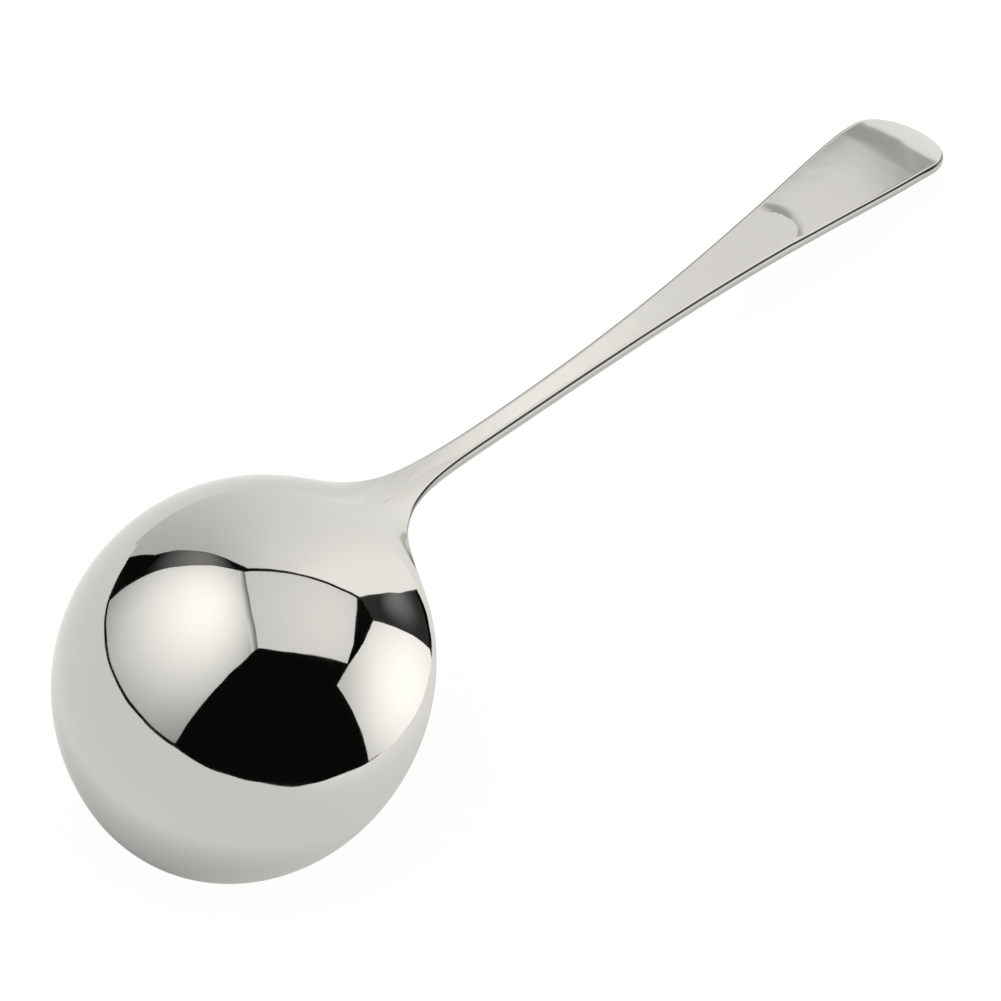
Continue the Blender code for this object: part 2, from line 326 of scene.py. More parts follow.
def bezier(a, b, c, d, t):
    """Point of a cubic curve in plan."""
    s = 1.0 - t
    weights = (s ** 3, 3.0 * s * s * t, 3.0 * s * t * t, t ** 3)
    x = sum(w * p[0] for w, p in zip(weights, (a, b, c, d)))
    y = sum(w * p[1] for w, p in zip(weights, (a, b, c, d)))
    return x, y


def hermite(first, last, x):
    """Height between two places given as (x, height, slope, bend)."""
    run = last[0] - first[0]
    t = (x - first[0]) / run
    up = 10.0 * t ** 3 - 15.0 * t ** 4 + 6.0 * t ** 5
    height = first[1] + (last[1] - first[1]) * up
    height += first[2] * run * (t - 6.0 * t ** 3 + 8.0 * t ** 4 - 3.0 * t ** 5)
    height += last[2] * run * (7.0 * t ** 4 - 4.0 * t ** 3 - 3.0 * t ** 5)
    height += 0.5 * first[3] * run ** 2 * (t ** 2 - 3.0 * t ** 3 + 3.0 * t ** 4 - t ** 5)
    return height + 0.5 * last[3] * run ** 2 * (t ** 3 - 2.0 * t ** 4 + t ** 5)


def solve(rising, goal, low, high):
    """Value at which a rising function meets the goal, by halving."""
    for _ in range(HALVINGS):
        middle = 0.5 * (low + high)
        if rising(middle) < goal:
            low = middle
        else:
            high = middle
    return 0.5 * (low + high)


class Shape:
    """Plan, side view and thickness of the spoon; the bowl's centre stands over x = 0."""

    def __init__(self, sizes):
        s = self.s = sizes
        radius = s.bowl_radius
        self.rim = math.acos(1.0 - s.bowl_depth / radius)
        self.face_rim = self.rim - s.rim_round / radius
        self.height = self.bowl_height()
        leave = self.rim - s.bowl_tilt
        reach = radius + s.hollow_radius
        hollow_x = reach * math.sin(leave)
        hollow_z = self.height + reach * math.cos(leave)
        self.hollow_end_x = hollow_x - s.hollow_radius * math.sin(s.hollow_pitch)
        self.hollow_end_z = hollow_z - s.hollow_radius * math.cos(s.hollow_pitch)
        self.waist_x = self.hollow_end_x + s.neck_run
        self.stem_end_x = self.waist_x + s.stem_run
        self.shoulder_x = self.stem_end_x + s.flare_run
        self.tip_x = self.shoulder_x + s.end_run
        self.curl_x = self.tip_x - s.curl_run
        tip_pitch = math.asin(math.sin(s.curl_pitch) + s.curl_run / s.curl_radius)
        lift = s.edge_round * (math.cos(tip_pitch) + math.sin(tip_pitch) - 1.0)
        tip_z = s.handle_thickness * math.cos(tip_pitch) - lift
        self.curl_z = tip_z + s.curl_radius * (math.cos(s.curl_pitch) - math.cos(tip_pitch))
        self.middle_x = 0.5 * (self.tip_x - radius)
        self.flat_x = self.hollow_end_x + s.flatten_run
        self.face_radius = radius * math.sin(self.face_rim)
        self.round_x = self.rim_point(0.0)[0]
        self.blend_x = radius * math.sin(s.blend_start)
        self.blend_end_x = self.hollow_end_x + s.blend_run
        self.fan_x = self.hollow_end_x + FAN_SHARE * s.blend_run
        self.fan_t = solve(lambda t: self.neck_edge(t)[0], self.fan_x, 0.0, 1.0)

    def bowl_height(self):
        """Height of the bowl's centre with the front of the rim on the table."""
        s = self.s
        inner = s.bowl_radius - s.bowl_wall
        lowest = 0.0
        for turn in spread(0.0, 0.5 * math.pi, RIM_CHECKS):
            drop = s.rim_round * (1.0 - math.cos(turn))
            past = s.rim_round * (math.sin(turn) - 1.0)
            for radius, wall in ((s.bowl_radius - drop, s.bowl_radius), (inner + drop, inner)):
                lowest = min(lowest, radius * math.cos(self.rim + past / wall + s.bowl_tilt))
        return -lowest

    def rim_point(self, turn):
        """Plan position on the upper face's edge at the bowl's rim."""
        s = self.s
        back = s.bowl_radius * math.cos(self.face_rim) * math.sin(s.bowl_tilt)
        x = self.face_radius * math.cos(turn) * math.cos(s.bowl_tilt) - back
        return x, self.face_radius * math.sin(turn)

    def ball_height(self, x, y):
        """Height of the bowl's ball, which runs on past the rim."""
        square = self.s.bowl_radius ** 2 - x ** 2 - y ** 2
        return self.height + math.sqrt(max(MM ** 2, square))

    def stem_height(self, x):
        """Height of the slightly bowed stem from the hollow to the curl."""
        s = self.s
        run = self.curl_x - self.hollow_end_x
        t = (x - self.hollow_end_x) / run
        start = -math.tan(s.hollow_pitch) * run
        stop = -math.tan(s.curl_pitch) * run
        height = self.hollow_end_z * (1.0 - 3.0 * t ** 2 + 2.0 * t ** 3)
        height += start * (t - 2.0 * t ** 2 + t ** 3)
        height += self.curl_z * (3.0 * t ** 2 - 2.0 * t ** 3)
        return height + stop * (t ** 3 - t ** 2)

    def blend_height(self, x):
        """Height of the neck's rise, smooth with the bowl's ball and the stem's line."""
        s = self.s
        bend = -1.0 / (s.bowl_radius * math.cos(s.blend_start) ** 3)
        top = self.ball_height(self.blend_x, 0.0)
        end = self.stem_height(self.blend_end_x)
        slope = (self.stem_height(self.blend_end_x + SLOPE_STEP) - end) / SLOPE_STEP
        return hermite((self.blend_x, top, -math.tan(s.blend_start), bend),
                       (self.blend_end_x, end, slope, 0.0), x)

    def side_height(self, x):
        """Height of the upper face on the spoon's middle plane."""
        s = self.s
        if x <= self.blend_x:
            return self.ball_height(x, 0.0)
        if x <= self.blend_end_x:
            return self.blend_height(x)
        if x <= self.curl_x:
            return self.stem_height(x)
        sine = math.sin(s.curl_pitch) + (x - self.curl_x) / s.curl_radius
        drop = math.cos(s.curl_pitch) - math.sqrt(1.0 - sine ** 2)
        return self.curl_z - s.curl_radius * drop

    def crown(self, x, y):
        """How far the neck falls away from its middle plane, which dies out in the bowl's ball."""
        s = self.s
        if x > self.round_x:
            x = self.round_x + s.crown_run * math.tanh((x - self.round_x) / s.crown_run)
        middle = self.side_height(x)
        rise = middle - self.ball_height(x, 0.0)
        share = max(0.0, 1.0 - (y / s.blend_width) ** 2) ** 3
        return middle - self.ball_height(x, y) - rise * share

    def face_height(self, x, y):
        """Height of the upper face: crowned like the bowl at the neck, flat across on the stem."""
        flat = ease((x - self.round_x) / (self.flat_x - self.round_x))
        if flat == 1.0 or y == 0.0:
            return self.side_height(x)
        return self.side_height(x) - (1.0 - flat) * self.crown(x, y)

    def on_face(self, x, y):
        """Point of the upper face over a place in plan."""
        return Vector((x, y, self.face_height(x, y)))

    def upward(self, place, tongue=False):
        """Upper face's normal at one of its points."""
        arm = Vector((place.x, place.y, place.z - self.height))
        if abs(arm.length - self.s.bowl_radius) < ON_BALL:
            return arm.normalized()

        def height(x, y):
            drop = self.tongue_drop(x, y) if tongue and x > self.waist_x else 0.0
            return self.face_height(x, y) - drop

        step = NORMAL_STEP
        rise_x = height(place.x + step, place.y) - height(place.x - step, place.y)
        rise_y = height(place.x, place.y + step) - height(place.x, place.y - step)
        return Vector((-rise_x, -rise_y, 2.0 * step)).normalized()

    def neck_edge(self, t):
        """Plan outline from the rim to the waist, as (x, half width)."""
        s = self.s
        start = self.rim_point(s.neck_spread)
        along = Vector((math.sin(s.neck_spread) * math.cos(s.bowl_tilt), -math.cos(s.neck_spread)))
        along.normalize()
        first = (start[0] + s.neck_rim_pull * along.x, start[1] + s.neck_rim_pull * along.y)
        stop = (self.waist_x, 0.5 * s.waist_width - s.edge_round)
        return bezier(start, first, (stop[0] - s.neck_stem_pull, stop[1]), stop, t)

    def flare_edge(self, t):
        """Plan outline from the waist to the shoulders of the end, as (x, half width)."""
        s = self.s
        start = (self.waist_x, 0.5 * s.waist_width - s.edge_round)
        stop = (self.shoulder_x, 0.5 * s.end_width - s.edge_round)
        first = (start[0] + s.flare_waist_pull, start[1])
        return bezier(start, first, (stop[0] - s.flare_shoulder_pull, stop[1]), stop, t)

    def half_width(self, x):
        """Half width of the upper face along the neck, stem and flare."""
        edge = self.neck_edge if x < self.waist_x else self.flare_edge
        return edge(solve(lambda t: edge(t)[0], x, 0.0, 1.0))[1]

    def end_edge(self, share):
        """Plan outline of the round end; share runs from -1 at the right to 1 at the left."""
        s = self.s
        turn = 0.5 * math.pi * abs(share)
        half = 0.5 * s.end_width - s.edge_round
        x = self.shoulder_x + (s.end_run - s.edge_round) * math.cos(turn) ** (2.0 / s.end_fullness)
        y = half * math.sin(turn) ** (2.0 / s.end_fullness)
        return x, math.copysign(y, share)

    def tongue_drop(self, x, y):
        """How far the flared end lies below the tongue."""
        s = self.s
        ahead = x - (self.stem_end_x + s.tongue_reach - s.tongue_radius)
        past = math.hypot(max(0.0, ahead), y) - s.tongue_radius + min(0.0, ahead)
        left = 1.0 - min(1.0, max(0.0, past / s.tongue_ramp))
        return s.tongue_height * (1.0 - left ** 2)

    def edge_at(self, x):
        """Thickness and edge radius: the bowl's at the rim, the handle's from the waist on."""
        s = self.s
        share = ease((x - self.round_x) / (self.waist_x - self.round_x))
        wall = s.bowl_wall + (s.handle_thickness - s.bowl_wall) * share
        return wall, s.rim_round + (s.edge_round - s.rim_round) * share


def tag_new(bm, tag, name):
    """Give every face without a section this one."""
    for face in bm.faces:
        if face[tag] < 0:
            face[tag] = SECTIONS.index(name)


def extrude_row(bm, row, targets, tag):
    """Extrude an open row of vertices and set the new row on its targets."""
    edges = [bm.edges.get(pair) for pair in zip(row, row[1:])]
    made = bmesh.ops.extrude_edge_only(bm, edges=edges)["geom"]
    old = set(row)
    fresh = {}
    for item in made:
        if isinstance(item, bmesh.types.BMVert):
            fresh[next(e.other_vert(item) for e in item.link_edges if e.other_vert(item) in old)] = item
    for vert, place in zip(row, targets):
        fresh[vert].co = place
    for vert in row:
        for face in fresh[vert].link_faces:
            face[tag] = -1
    return [fresh[vert] for vert in row]


def dome(bm, shape, tag):
    """Outside of the bowl: an arc swung from crown to rim, then spun about the bowl's axis."""
    s = shape.s
    crown = bm.verts.new((0.0, 0.0, s.bowl_radius))
    swing = dict(cent=(0.0, 0.0, 0.0), use_merge=False)
    bmesh.ops.spin(bm, geom=[crown], axis=(0, 1, 0), angle=shape.face_rim, steps=DOME_RINGS, **swing)
    start = Matrix.Rotation(-s.neck_spread, 3, "Z")
    bmesh.ops.rotate(bm, cent=(0.0, 0.0, 0.0), matrix=start, verts=bm.verts)
    last = list(bm.verts) + list(bm.edges)
    wing = s.neck_spread - s.neck_core
    core = 2.0 * s.neck_core
    rest = 2.0 * (math.pi - s.neck_spread)
    turns = ((wing, FAN_LINES), (core, 2 * HALF_COLUMNS), (wing, FAN_LINES), (rest, RIM_STEPS))
    for turn, steps in turns:
        last = bmesh.ops.spin(bm, geom=last, axis=(0, 0, 1), angle=turn, steps=steps, **swing)["geom_last"]
    bmesh.ops.remove_doubles(bm, verts=bm.verts, dist=WELD)
    for face in bm.faces:
        face[tag] = SECTIONS.index("bowl")
    reach = s.neck_spread + SAME_TURN
    arc = [vert for vert in bm.verts if vert.is_boundary and abs(math.atan2(vert.co.y, vert.co.x)) < reach]
    arc.sort(key=lambda vert: -vert.co.y)
    lean = Matrix.Rotation(-s.bowl_tilt, 3, "Y")
    bmesh.ops.rotate(bm, cent=(0.0, 0.0, 0.0), matrix=lean, verts=bm.verts)
    bmesh.ops.translate(bm, vec=(0.0, 0.0, shape.height), verts=bm.verts)
    for vert in bm.verts:
        if vert.co.x > shape.blend_x:
            vert.co.z = shape.face_height(vert.co.x, vert.co.y)
    return arc


def columns():
    """Places across the handle from 1 at the left edge to -1, closer together at the edges."""
    shares = [i / HALF_COLUMNS for i in range(HALF_COLUMNS, -HALF_COLUMNS - 1, -1)]
    return [0.5 * share + 0.5 * math.sin(0.5 * math.pi * share) for share in shares]


def stations(shape):
    """Places of the cross rows along the neck, stem and flare, close together round the tongue."""
    s = shape.s
    tongue = shape.stem_end_x + s.tongue_reach + s.tongue_ramp
    fine = shape.stem_end_x - 0.5 * s.tongue_radius
    places = spread(shape.fan_x, shape.waist_x, WAIST_ROWS)
    places += spread(shape.waist_x, fine, STEM_ROWS)[1:]
    places += spread(fine, shape.stem_end_x, CREST_ROWS)[1:]
    places += spread(shape.stem_end_x, tongue, TONGUE_ROWS)[1:]
    return places + spread(tongue, shape.shoulder_x, FLARE_ROWS)[1:]


def upper_face(bm, shape, tag):
    """Upper face of the sheet: dome, neck fanned out from the rim, rows of the handle, round end."""
    row = dome(bm, shape, tag)
    start = [vert.co.copy() for vert in row]
    across = columns()
    goal = []
    for i in range(FAN_LINES):
        q = i / FAN_LINES
        t = q * (1.0 + FAN_CROWDING * q) / (1.0 + FAN_CROWDING)
        goal.append(shape.neck_edge(shape.fan_t * t))
    half = shape.half_width(shape.fan_x)
    goal = goal + [(shape.fan_x, half * share) for share in across] + [(x, -y) for x, y in goal[::-1]]
    for i in range(1, NECK_ROWS + 1):
        targets = []
        for point, (x, y) in zip(start, goal):
            run = math.hypot(x - point.x, y - point.y)
            share = i / NECK_ROWS if run > WING_END or i == NECK_ROWS else 0.0
            place = shape.on_face(point.x + share * (x - point.x), point.y + share * (y - point.y))
            targets.append(place if share else point)
        targets[0] = start[0]
        targets[-1] = start[-1]
        row = extrude_row(bm, row, targets, tag)
    row = row[FAN_LINES:len(row) - FAN_LINES]
    for x in stations(shape)[1:]:
        half = shape.half_width(x)
        row = extrude_row(bm, row, [shape.on_face(x, half * share) for share in across], tag)
        for limit, name in ((shape.waist_x, "neck"), (shape.stem_end_x, "stem")):
            if abs(x - limit) < SAME_PLACE:
                tag_new(bm, tag, name)
    start = [vert.co.copy() for vert in row]
    goal = [shape.end_edge(1.0 - i / HALF_COLUMNS) for i in range(2 * HALF_COLUMNS + 1)]
    for i in range(1, END_ROWS + 1):
        share = math.sin(0.5 * math.pi * i / END_ROWS)
        targets = []
        for point, (x, y) in zip(start, goal):
            targets.append(shape.on_face(point.x + share * (x - point.x), point.y + share * (y - point.y)))
        targets[0] = start[0]
        targets[-1] = start[-1]
        row = extrude_row(bm, row, targets, tag)
    tag_new(bm, tag, "handle_end")
    bmesh.ops.remove_doubles(bm, verts=bm.verts, dist=WELD)
    bmesh.ops.recalc_face_normals(bm, faces=bm.faces)
    crown = max(bm.faces, key=lambda face: face.calc_center_median().z)
    crown.normal_update()
    if crown.normal.z < 0.0:
        bmesh.ops.reverse_faces(bm, faces=bm.faces)


def roll_profile(thickness, radius):
    """Rolled edge from the upper face to the underside, as steps (out, down, turn)."""
    steps = []
    for turn in spread(0.0, 0.5 * math.pi, ROLL_STEPS)[1:]:
        steps.append((radius * math.sin(turn), radius * (1.0 - math.cos(turn)), turn))
    for turn in spread(0.5 * math.pi, math.pi, ROLL_STEPS):
        steps.append((radius * math.sin(turn), thickness - radius * (1.0 + math.cos(turn)), turn))
    return steps


def rolled_sheet(bm, shape, facing, edge):
    """Give the upper face its rolled edge and underside, with the way that each point faces."""
    after = {}
    for seam in bm.edges:
        if seam.is_boundary:
            loop = seam.link_loops[0]
            after[loop.vert] = loop.link_loop_next.vert
    before = {second: first for first, second in after.items()}
    upper = list(bm.verts)
    faces = list(bm.faces)
    normal = {vert: shape.upward(vert.co) for vert in upper}
    wall = {vert: shape.edge_at(vert.co.x) for vert in upper}
    for vert in upper:
        vert[facing] = shape.upward(vert.co, tongue=True)
    depth = {vert: 0.0 for vert in upper}
    ring = {vert: vert for vert in after}
    for step in range(2 * ROLL_STEPS + 1):
        row = [bm.edges.get((ring[first], ring[second])) for first, second in after.items()]
        made = bmesh.ops.extrude_edge_only(bm, edges=row)["geom"]
        owner = {vert: key for key, vert in ring.items()}
        ring = {}
        for vert in made:
            if isinstance(vert, bmesh.types.BMVert):
                key = next(owner[e.other_vert(vert)] for e in vert.link_edges if e.other_vert(vert) in owner)
                ring[key] = vert
                out = (after[key].co - before[key].co).cross(normal[key]).normalized()
                outward, down, turn = roll_profile(*wall[key])[step]
                vert.co = key.co + out * outward - normal[key] * down
                vert[facing] = out * math.sin(turn) + normal[key] * math.cos(turn)
                vert[edge] = math.sin(turn)
                depth[vert] = down / wall[key][0]
    under = bmesh.ops.duplicate(bm, geom=upper + faces)
    bmesh.ops.reverse_faces(bm, faces=[f for f in under["geom"] if isinstance(f, bmesh.types.BMFace)])
    for vert in upper:
        low = under["vert_map"][vert]
        low.co = vert.co - normal[vert] * wall[vert][0]
        low[facing] = -normal[vert]
        depth[low] = 1.0
    return depth


def press_sheet(shape):
    """Whole spoon as one closed sheet, kept as a mesh with its sections, shading and cut edge."""
    bm = bmesh.new()
    tag = bm.faces.layers.int.new("section")
    edge = bm.verts.layers.float.new("cut_edge")
    facing = bm.verts.layers.float_vector.new("facing")
    upper_face(bm, shape, tag)
    depth = rolled_sheet(bm, shape, facing, edge)
    for vert in bm.verts:
        if vert.co.x > shape.waist_x:
            vert.co.z -= shape.tongue_drop(vert.co.x, vert.co.y) * (1.0 - depth[vert])
    bmesh.ops.remove_doubles(bm, verts=bm.verts, dist=WELD)
    bmesh.ops.recalc_face_normals(bm, faces=bm.faces)
    bmesh.ops.translate(bm, vec=(-shape.middle_x, 0.0, 0.0), verts=bm.verts)
    if any(not e.is_manifold for e in bm.edges):
        raise RuntimeError("the pressed sheet isn't closed")
    mesh = bpy.data.meshes.new(SHEET)
    bm.to_mesh(mesh)
    bm.free()


def cut_section(name, material):
    """Cut one section from the sheet, close its ends and set it up as a piece."""
    bm = bmesh.new()
    bm.from_mesh(bpy.data.meshes[SHEET])
    tag = bm.faces.layers.int["section"]
    others = [face for face in bm.faces if face[tag] != SECTIONS.index(name)]
    bmesh.ops.delete(bm, geom=others, context="FACES")
    ends = [edge for edge in bm.edges if edge.is_boundary]
    for face in bmesh.ops.holes_fill(bm, edges=ends, sides=0)["faces"]:
        face[tag] = -1
    if not bm.faces or any(not edge.is_manifold for edge in bm.edges):
        raise RuntimeError("the section " + name + " isn't closed")
    bmesh.ops.recalc_face_normals(bm, faces=bm.faces)
    mesh = bpy.data.meshes.new("polished_" + name)
    bm.to_mesh(mesh)
    bm.free()
    mesh.shade_smooth()
    facing = mesh.attributes["facing"].data
    section = mesh.attributes["section"].data
    normals = [None] * len(mesh.loops)
    for face in mesh.polygons:
        for i in face.loop_indices:
            flat = section[face.index].value < 0
            normals[i] = face.normal if flat else facing[mesh.loops[i].vertex_index].vector
    mesh.normals_split_custom_set([tuple(n) for n in normals])
    for spare in ("facing", "section"):
        mesh.attributes.remove(mesh.attributes[spare])
    piece = bpy.data.objects.new("polished_" + name, mesh)
    bpy.context.scene.collection.objects.link(piece)
    mesh.materials.append(material)
    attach(piece, "root")
    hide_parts(name)


def add(nodes, kind, **values):
    """New node; values go to its properties, or to the inputs of that name."""
    node = nodes.new(kind)
    for name, value in values.items():
        if hasattr(node, name):
            setattr(node, name, value)
        else:
            node.inputs[name].default_value = value
    return node


def new_material(name):
    """New material, with its nodes and the way to link them."""
    material = bpy.data.materials.new(name)
    material.use_nodes = True
    return material, material.node_tree.nodes, material.node_tree.links.new


def ramp(material, value, span, low, high, course="SMOOTHSTEP"):
    """Ramp of a value over a span, between two levels."""
    node = add(material.node_tree.nodes, "ShaderNodeMapRange", interpolation_type=course)
    for end, number in zip(RAMP_ENDS, (*span, low, high)):
        node.inputs[end].default_value = number
    material.node_tree.links.new(value, node.inputs["Value"])
    return node.outputs["Result"]


def joined(material, operation, first, second):
    """Two values joined by arithmetic."""
    node = add(material.node_tree.nodes, "ShaderNodeMath", operation=operation)
    material.node_tree.links.new(first, node.inputs[0])
    material.node_tree.links.new(second, node.inputs[1])
    return node.outputs["Value"]


def polished_steel(finish):
    """Mirror-polished steel, more satin on the handle, with haze, waviness, hairlines and a dark reflection
    painted along the rolled edge.
    """
    name = "mirror_polish"
    if name in bpy.data.materials:
        return bpy.data.materials[name]
    material, nodes, link = new_material(name)
    shader = nodes["Principled BSDF"]
    shader.inputs["Metallic"].default_value = 1.0
    place = add(nodes, "ShaderNodeTexCoord").outputs["Object"]
    edge = add(nodes, "ShaderNodeAttribute", attribute_name="cut_edge").outputs["Fac"]

    # Colour: a faint warm cast, and a dark line painted along the rolled edge in place of the reflection of
    # dark surroundings
    cloud = add(nodes, "ShaderNodeTexNoise", Scale=CLOUD_SCALE, Detail=3.0, Roughness=0.55)
    link(place, cloud.inputs["Vector"])
    cast = add(nodes, "ShaderNodeMix", data_type="RGBA")
    cast.inputs[MIX_FIRST].default_value = finish.steel
    cast.inputs[MIX_SECOND].default_value = finish.steel_warm
    link(cloud.outputs["Fac"], cast.inputs["Factor"])
    # Painted reflection: the base colour darkens across the middle of the rolled edge, where the dark
    # surroundings would be reflected
    rise = ramp(material, edge, PAINTED_REFLECTION_RISE, 0.0, finish.edge_line)
    fall = ramp(material, edge, PAINTED_REFLECTION_FALL, PAINTED_REFLECTION_LEFT, 1.0)
    line = add(nodes, "ShaderNodeMix", data_type="RGBA")
    line.inputs[MIX_SECOND].default_value = PAINTED_REFLECTION_COLOUR
    link(joined(material, "MULTIPLY", rise, fall), line.inputs["Factor"])
    link(cast.outputs[MIX_RESULT], line.inputs[MIX_FIRST])
    link(line.outputs[MIX_RESULT], shader.inputs["Base Color"])

    # Roughness: smears of haze, the cut edge and the handle's satin
    smear = add(nodes, "ShaderNodeTexNoise", Scale=SMEAR_SCALE, Detail=4.0, Roughness=0.6)
    link(place, smear.inputs["Vector"])
    polish = ramp(material, smear.outputs["Fac"], SMEAR_SPAN, finish.polish, finish.haze, "LINEAR")
    haze = add(nodes, "ShaderNodeMath", operation="MULTIPLY_ADD")
    haze.inputs[1].default_value = finish.edge_haze
    link(edge, haze.inputs[0])
    link(polish, haze.inputs[2])
    along = add(nodes, "ShaderNodeSeparateXYZ")
    link(place, along.inputs["Vector"])
    satin = ramp(material, along.outputs["X"], SATIN_SPAN, 0.0, finish.satin)
    link(joined(material, "ADD", haze.outputs["Value"], satin), shader.inputs["Roughness"])

    # Relief: slow waviness from pressing, and fine lines along the spoon
    peel = add(nodes, "ShaderNodeTexNoise", Scale=PEEL_SCALE, Detail=1.0)
    link(place, peel.inputs["Vector"])
    lines = add(nodes, "ShaderNodeMapping", Scale=HAIRLINE_SCALE)
    link(place, lines.inputs["Vector"])
    hair = add(nodes, "ShaderNodeTexNoise", Scale=1.0, Detail=2.0)
    link(lines.outputs["Vector"], hair.inputs["Vector"])
    slow = add(nodes, "ShaderNodeBump", Strength=finish.peel, Distance=PEEL_DEPTH)
    link(peel.outputs["Fac"], slow.inputs["Height"])
    fine = add(nodes, "ShaderNodeBump", Strength=finish.hairlines, Distance=HAIRLINE_DEPTH)
    link(hair.outputs["Fac"], fine.inputs["Height"])
    link(slow.outputs["Normal"], fine.inputs["Normal"])
    link(fine.outputs["Normal"], shader.inputs["Normal"])
    return material


def stage_sheet(name, faces, material, camera=False, glossy=True, mirrored=False):
    """Sheet of the stage from its faces' corners in mm; a mirrored one is only seen in the steel."""
    bm = bmesh.new()
    for corners in faces:
        bm.faces.new([bm.verts.new(Vector(corner) * MM) for corner in corners])
    mesh = bpy.data.meshes.new(name)
    bm.to_mesh(mesh)
    bm.free()
    sheet = bpy.data.objects.new(name, mesh)
    bpy.context.scene.collection.objects.link(sheet)
    mesh.materials.append(material)
    sheet.visible_camera = camera
    sheet.visible_glossy = glossy
    sheet.visible_diffuse = not mirrored
    sheet.visible_shadow = not mirrored


def ramp_group(operation):
    """Node group of a smooth ramp, by the distance to a place or by the measure along a direction."""
    name = "ramp_by_" + operation.lower()
    if name in bpy.data.node_groups:
        return bpy.data.node_groups[name]
    group = bpy.data.node_groups.new(name, "ShaderNodeTree")
    group.interface.new_socket("Vector", in_out="INPUT", socket_type="NodeSocketVector")
    for end in RAMP_ENDS:
        group.interface.new_socket(end, in_out="INPUT", socket_type="NodeSocketFloat")
    group.interface.new_socket("Level", in_out="OUTPUT", socket_type="NodeSocketFloat")
    link = group.links.new
    given = add(group.nodes, "NodeGroupInput")
    place = add(group.nodes, "ShaderNodeTexCoord")
    measure = add(group.nodes, "ShaderNodeVectorMath", operation=operation)
    course = add(group.nodes, "ShaderNodeMapRange", interpolation_type="SMOOTHSTEP")
    result = add(group.nodes, "NodeGroupOutput")
    link(place.outputs["Object"], measure.inputs[0])
    link(given.outputs["Vector"], measure.inputs[1])
    link(measure.outputs["Value"], course.inputs["Value"])
    for end in RAMP_ENDS:
        link(given.outputs[end], course.inputs[end])
    link(course.outputs["Result"], result.inputs["Level"])
    return group


def placed_ramp(material, operation, vector, span, low, high):
    """Ramp group with its own values; the span is in mm."""
    node = add(material.node_tree.nodes, "ShaderNodeGroup", node_tree=ramp_group(operation))
    node.inputs["Vector"].default_value = vector
    for end, number in zip(RAMP_ENDS, (span[0] * MM, span[1] * MM, low, high)):
        node.inputs[end].default_value = number
    return node.outputs["Level"]


def ramp_along(material, direction, span, low, high):
    """Smooth ramp along a direction, over a span in mm."""
    return placed_ramp(material, "DOT_PRODUCT", direction, span, low, high)


def ramp_from(material, centre, span, low, high):
    """Smooth ramp by the distance from a centre, over a span in mm."""
    return placed_ramp(material, "DISTANCE", Vector(centre) * MM, span, low, high)


def ramp_by_ray(material, span, low, high):
    """Smooth ramp by the length of the ray from the steel to the sheet, over a span in mm."""
    path = add(material.node_tree.nodes, "ShaderNodeLightPath")
    return ramp(material, path.outputs["Ray Length"], (span[0] * MM, span[1] * MM), low, high)


def glow(name, strength=1.0):
    """Lit cloth or paper."""
    material, nodes, link = new_material(name)
    nodes.remove(nodes["Principled BSDF"])
    lamp = add(nodes, "ShaderNodeEmission", name="lamp", Color=LAMP_COLOUR, Strength=strength)
    link(lamp.outputs["Emission"], nodes["Material Output"].inputs["Surface"])
    return material


def light(material, value):
    """Drive a lit sheet's strength."""
    material.node_tree.links.new(value, material.node_tree.nodes["lamp"].inputs["Strength"])


def cloth(name, strength, centre, reach, dim):
    """Lit cloth that dims from its centre towards its edge."""
    material = glow(name)
    light(material, ramp_from(material, centre, (0.0, reach), strength, strength * dim))
    return material


def seam_cloth():
    """Strip between the left panel and the top, bright at its left and dim at its right."""
    material = glow("seam_cloth")
    light(material, ramp_along(material, SEAM_ACROSS, SEAM_SPAN, *SEAM_LIGHT))
    return material


def sweep_paper(strength):
    """Back sweep, dim at its left end, brightest at its right, with a small bright spot for the stem."""
    material = glow("sweep_paper")
    left = ramp_along(material, ALONG_SWEEP, SWEEP_LEFT_SPAN, SWEEP_LEFT_DIM * strength, strength)
    right = ramp_along(material, ALONG_SWEEP, SWEEP_RIGHT_SPAN, 0.0, SWEEP_RIGHT_GAIN * strength)
    spot = ramp_from(material, STEM_SPOT, (0.0, STEM_SPOT_REACH), STEM_SPOT_GAIN * strength, 0.0)
    spot = joined(material, "MULTIPLY", spot, ramp_by_ray(material, STEM_RAYS, 1.0, 0.0))
    light(material, joined(material, "ADD", joined(material, "ADD", left, right), spot))
    return material


def table_paper(strength):
    """Table as the steel shows it, dark where the spoon shades it and brighter to the right."""
    material = glow("table_paper")
    shade = add(material.node_tree.nodes, "ShaderNodeAmbientOcclusion", samples=TABLE_SHADE_SAMPLES)
    shade.inputs["Distance"].default_value = TABLE_SHADE * MM
    clear = ramp_from(material, (0.0, 0.0, 0.0), TABLE_CLEAR_SPAN, 0.0, 1.0)
    near = joined(material, "MAXIMUM", shade.outputs["AO"], clear)
    right = ramp_along(material, ALONG_SWEEP, TABLE_RIGHT_SPAN, strength, TABLE_RIGHT_GAIN * strength)
    light(material, joined(material, "MULTIPLY", near, right))
    return material


def glow_by_ray(name, rays, cover=(), strength=1.0):
    """Lit sheet that shows only in steel at some distances, as far as the ramps of its cover reach."""
    material = glow(name, strength)
    nodes = material.node_tree.nodes
    link = material.node_tree.links.new
    there = ramp_by_ray(material, rays, 0.0, 1.0)
    for direction, span in cover:
        there = joined(material, "MULTIPLY", there, ramp_along(material, direction, span, 0.0, 1.0))
    clear = add(nodes, "ShaderNodeBsdfTransparent")
    mix = add(nodes, "ShaderNodeMixShader")
    link(there, mix.inputs["Fac"])
    link(clear.outputs["BSDF"], mix.inputs[1])
    link(nodes["lamp"].outputs["Emission"], mix.inputs[2])
    link(mix.outputs["Shader"], nodes["Material Output"].inputs["Surface"])
    return material


